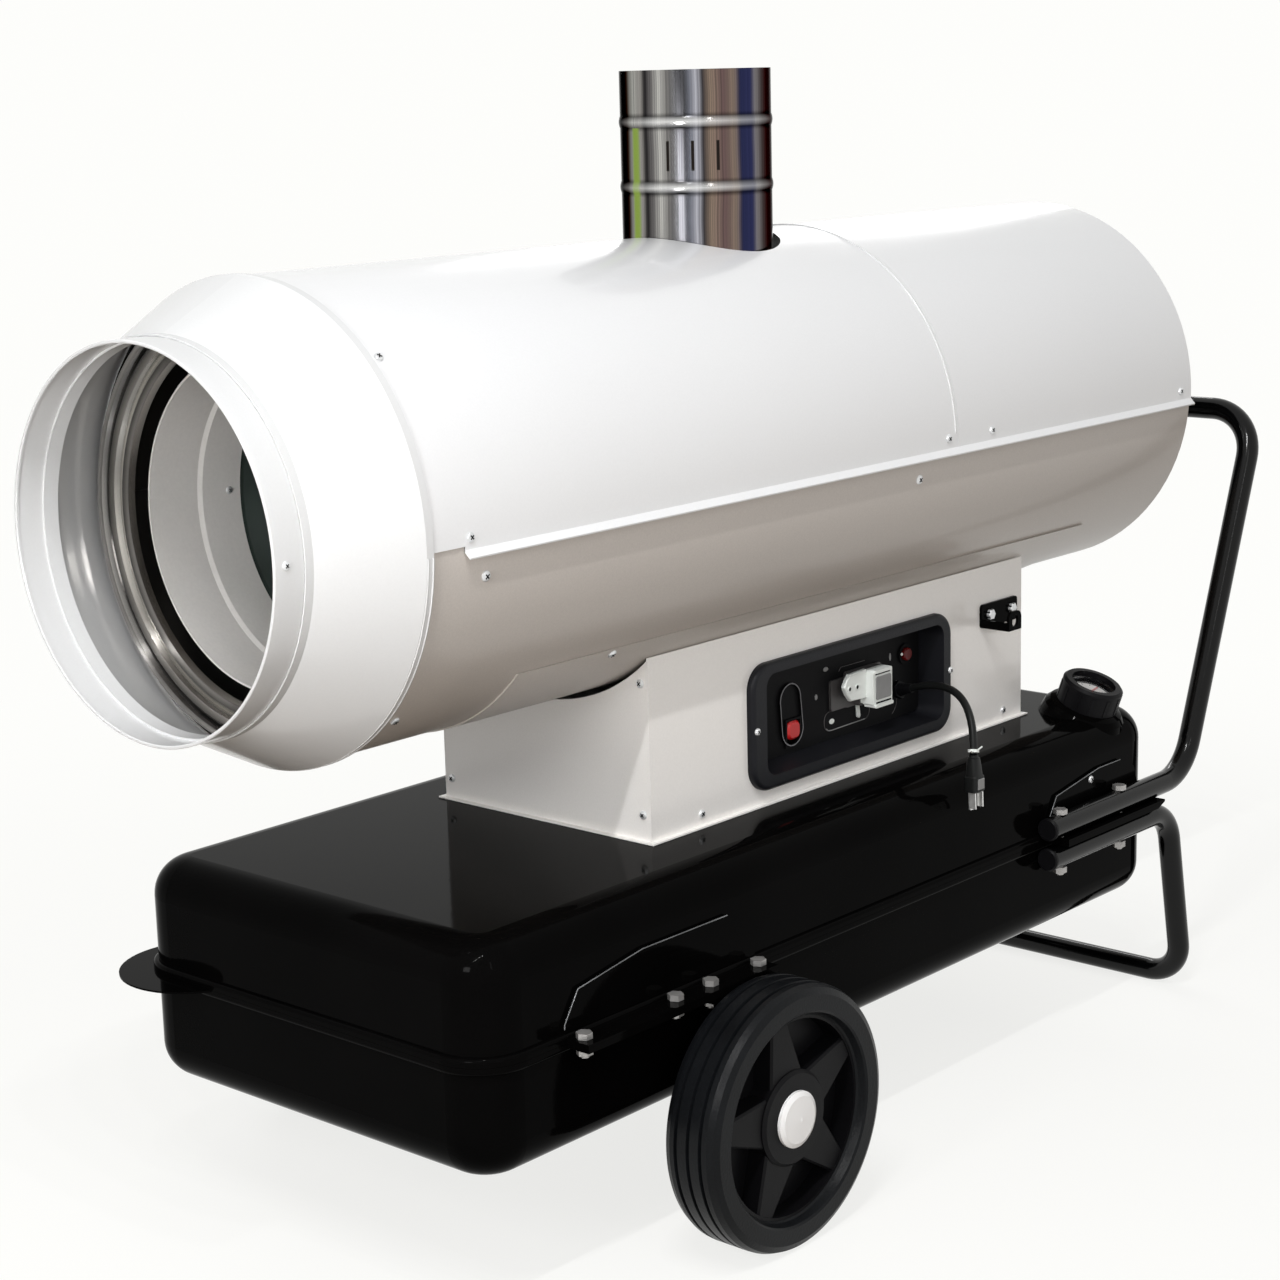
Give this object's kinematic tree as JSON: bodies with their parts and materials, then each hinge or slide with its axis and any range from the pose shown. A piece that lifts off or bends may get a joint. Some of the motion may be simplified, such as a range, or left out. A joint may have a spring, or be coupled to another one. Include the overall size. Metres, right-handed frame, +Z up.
{
  "type": "indirect-fired oil heater",
  "caption": "Mobile indirect-fired oil heater: round casing with side warm-air outlet and top flue, on a fuel tank with wheels, handle tube and foot tube.",
  "frame": {"origin": "on the floor under the middle of the whole heater's length and width", "axes": "+X from the warm-air outlet to the fan inlet, the control panel faces -Y, +Z up"},
  "size_m": [1.431, 0.657, 1.058],
  "materials": {
    "white_paint": "gloss powder coat",
    "shade_paint": "gloss powder coat",
    "duct_white": "satin",
    "stainless": "polished",
    "drum_steel": "heat-darkened",
    "black_gloss": "gloss powder coat",
    "zinc": "zinc plated",
    "black_plastic": "matt",
    "grey_plastic": "matt",
    "white_plastic": "gloss",
    "red_plastic": "gloss",
    "rubber_black": "matt",
    "tyre_black": "satin",
    "lens_clear": "clear",
    "motor_grey": "cast",
    "pin_metal": "bright",
    "copper_line": "drawn"
  },
  "bodies": {
    "heater": {"casing_upper_front": "white_paint", "casing_upper_rear": "white_paint", "casing_lower": "shade_paint", "saddle_sheet": "shade_paint", "inlet_grille": "black_gloss", "outlet_cone": "white_paint", "outlet_collar": "white_paint", "outlet_ring": "stainless", "inner_duct": "duct_white", "heat_exchanger": "drum_steel", "combustion_chamber": "drum_steel", "burner_head": "zinc", "flue_pipe": "stainless", "base_control_side": "shade_paint", "base_plain_side": "shade_paint", "base_front_panel": "shade_paint", "base_rear_panel": "shade_paint", "control_bezel": "black_plastic", "control_face": "black_plastic", "switch_frame": "black_plastic", "thermostat_socket": "grey_plastic", "cord_grip": "black_plastic", "power_cord": "rubber_black", "cord_tie": "white_plastic", "power_plug": "rubber_black", "plug_face": "grey_plastic", "plug_pins": "pin_metal", "hook_bracket": "black_gloss", "tank_upper": "black_gloss", "tank_lower": "black_gloss", "drain_plug": "zinc", "filler_neck": "zinc", "front_brackets": "black_gloss", "rear_brackets": "black_gloss", "axle_brackets": "black_gloss", "stub_axles": "zinc", "handle_tube": "black_gloss", "foot_tube": "black_gloss", "tube_end_caps": "black_plastic", "frame_bolts": "zinc", "fan_motor": "motor_grey", "motor_bracket": "zinc", "fuel_pump": "motor_grey", "fuel_lines": "copper_line", "ignition_transformer": "black_plastic"},
    "fan": {"fan_rotor": "motor_grey", "motor_shaft": "zinc"},
    "left_wheel": {"left_tyre": "tyre_black", "left_wheel_hub": "black_plastic", "left_hub_cap": "white_plastic"},
    "right_wheel": {"right_tyre": "tyre_black", "right_wheel_hub": "black_plastic", "right_hub_cap": "white_plastic"},
    "cap": {"filler_cap": "black_plastic", "gauge_lens": "lens_clear"},
    "needle": {"gauge_needle": "red_plastic"},
    "float": {"gauge_float": "white_plastic"},
    "rocker": {"power_switch": "red_plastic"},
    "button": {"reset_button": "red_plastic"},
    "plug": {"thermostat_plug": "white_plastic"}
  },
  "joints": [
    {"name": "fan_spin", "type": "hinge", "parent": "heater", "child": "fan", "pos_m": [0.4, 0, 0.687], "axis": [1, 0, 0], "continuous": true},
    {"name": "left_wheel_roll", "type": "hinge", "parent": "heater", "child": "left_wheel", "pos_m": [-0.268, -0.2985, 0.125], "axis": [0, 1, 0], "continuous": true},
    {"name": "right_wheel_roll", "type": "hinge", "parent": "heater", "child": "right_wheel", "pos_m": [-0.268, 0.2985, 0.125], "axis": [0, 1, 0], "continuous": true},
    {"name": "cap_lift", "type": "slide", "parent": "heater", "child": "cap", "axis": [0, -0.3401, 0.9404], "range_m": [0, 0.19]},
    {"name": "gauge_turn", "type": "hinge", "parent": "cap", "child": "needle", "pos_m": [0.4354, -0.1854, 0.346], "axis": [0, -0.3401, 0.9404], "range_deg": [0, 270]},
    {"name": "float_rise", "type": "slide", "parent": "cap", "child": "float", "axis": [0, -0.3401, 0.9404], "range_m": [0, 0.11]},
    {"name": "switch_rock", "type": "hinge", "parent": "heater", "child": "rocker", "pos_m": [-0.006, -0.1165, 0.402], "axis": [1, 0, 0], "range_deg": [0, 20]},
    {"name": "button_press", "type": "slide", "parent": "heater", "child": "button", "axis": [0, 1, 0], "range_m": [0, 0.003], "stiffness_N_per_m": 300, "springref_m": -0.001},
    {"name": "plug_pull", "type": "slide", "parent": "heater", "child": "plug", "axis": [0, -1, 0], "range_m": [0, 0.03]}
  ],
  "couplings": [
    {"joint": "gauge_turn", "follows": "float_rise", "rad_per_m": 42.8}
  ]
}
